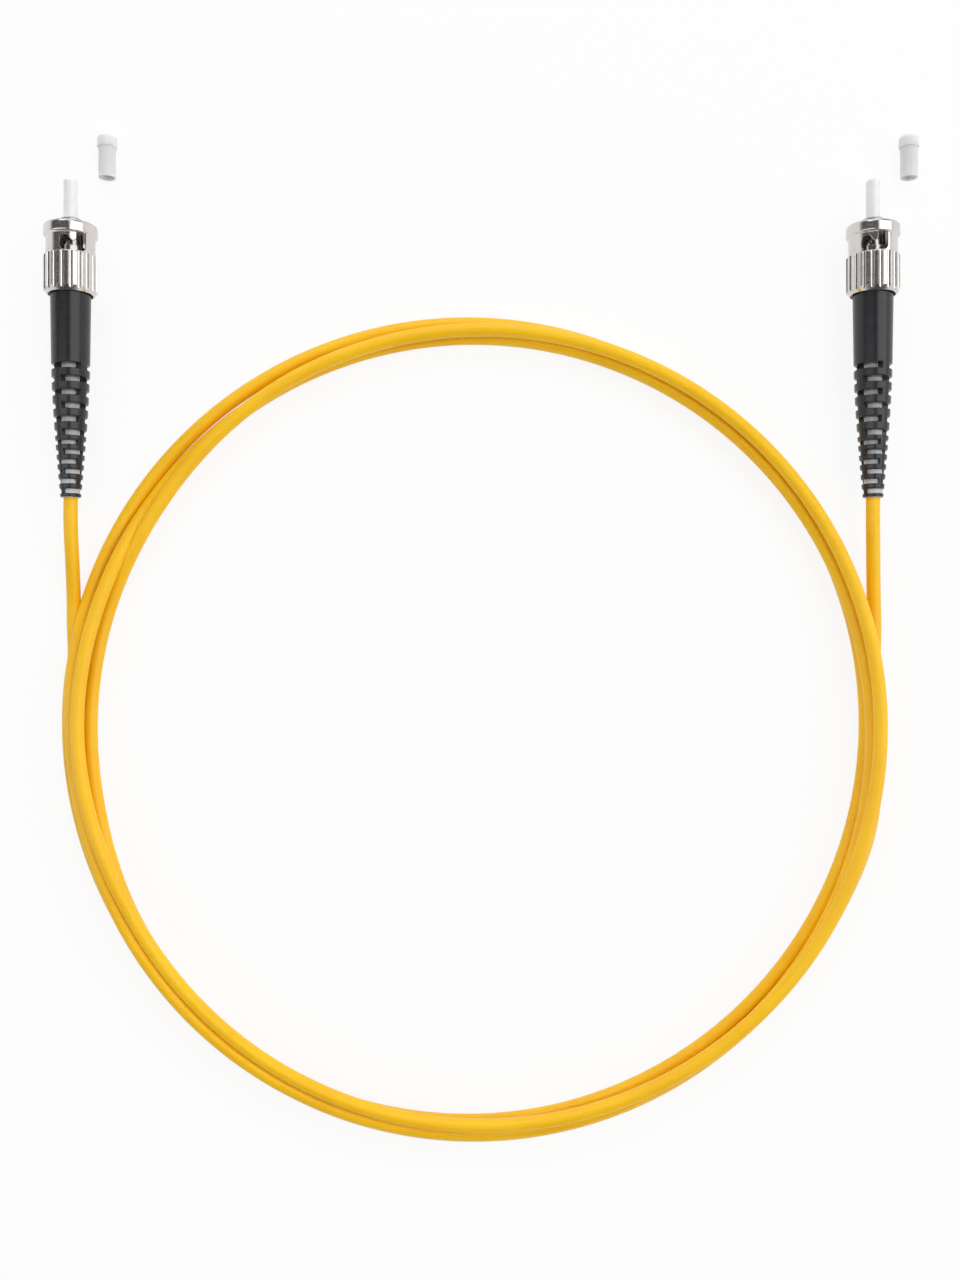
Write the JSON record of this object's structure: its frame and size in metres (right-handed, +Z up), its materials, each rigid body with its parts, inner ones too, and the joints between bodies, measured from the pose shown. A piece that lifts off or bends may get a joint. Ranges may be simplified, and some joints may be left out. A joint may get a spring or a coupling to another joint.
{
  "type": "simplex fibre patch cord with st connectors",
  "caption": "Coiled yellow fibre patch cord with a bayonet connector at each end: fluted metal coupling nut, bare white ferrule, black slotted boot and a dust cap lying beside it.",
  "frame": {"origin": "On the table, in the middle of the box of the two connectors and their dust caps, without the cable", "axes": "+Y the way both ferrules point, +X from connector a to connector b, +Z up"},
  "size_m": [0.1584, 0.1839, 0.0094],
  "materials": {
    "zirconia_ceramic": "ground and polished white",
    "glass_fibre": "clear",
    "buffer_plastic": "smooth",
    "nickel_barrel": "nickel plated, turned",
    "nickel_nut": "nickel plated, polished",
    "spring_steel": "drawn wire",
    "washer_steel": "stamped",
    "ring_steel": "stamped",
    "aramid_yarn": "loose yarn",
    "crimp_metal": "nickel plated, crimped",
    "yellow_jacket": "semi-matt extruded",
    "black_boot": "fine satin, moulded",
    "cap_plastic": "translucent, moulded"
  },
  "bodies": {
    "root": {"ferrule_a": "zirconia_ceramic", "fibre_a": "glass_fibre", "buffer_a": "buffer_plastic", "barrel_a": "nickel_barrel", "coupling_spring_a": "spring_steel", "retaining_ring_a": "ring_steel", "aramid_yarn_a": "aramid_yarn", "crimp_sleeve_a": "crimp_metal", "jacket_a": "yellow_jacket", "boot_a": "black_boot", "dust_cap_a": "cap_plastic", "ferrule_b": "zirconia_ceramic", "fibre_b": "glass_fibre", "buffer_b": "buffer_plastic", "barrel_b": "nickel_barrel", "coupling_spring_b": "spring_steel", "retaining_ring_b": "ring_steel", "aramid_yarn_b": "aramid_yarn", "crimp_sleeve_b": "crimp_metal", "jacket_b": "yellow_jacket", "boot_b": "black_boot", "dust_cap_b": "cap_plastic", "cable_coil": "yellow_jacket", "cable_tail_a": "yellow_jacket", "cable_tail_b": "yellow_jacket"},
    "washer_a": {"thrust_washer_a": "washer_steel"},
    "nut_a": {"coupling_nut_a": "nickel_nut"},
    "washer_b": {"thrust_washer_b": "washer_steel"},
    "nut_b": {"coupling_nut_b": "nickel_nut"}
  },
  "joints": [
    {"name": "nut_slide_a", "type": "slide", "parent": "root", "child": "washer_a", "axis": [0, 1, 0], "range_m": [0, 0.0016], "stiffness_N_per_m": 2500, "springref_m": -0.001, "deforming": ["coupling_spring_a"]},
    {"name": "nut_spin_a", "type": "hinge", "parent": "washer_a", "child": "nut_a", "pos_m": [-0.0745, 0.0033, 0.0047], "axis": [0, 1, 0], "continuous": true},
    {"name": "nut_slide_b", "type": "slide", "parent": "root", "child": "washer_b", "axis": [0, 1, 0], "range_m": [0, 0.0016], "stiffness_N_per_m": 2500, "springref_m": -0.001, "deforming": ["coupling_spring_b"]},
    {"name": "nut_spin_b", "type": "hinge", "parent": "washer_b", "child": "nut_b", "pos_m": [0.0699, 0.0033, 0.0047], "axis": [0, 1, 0], "continuous": true}
  ]
}
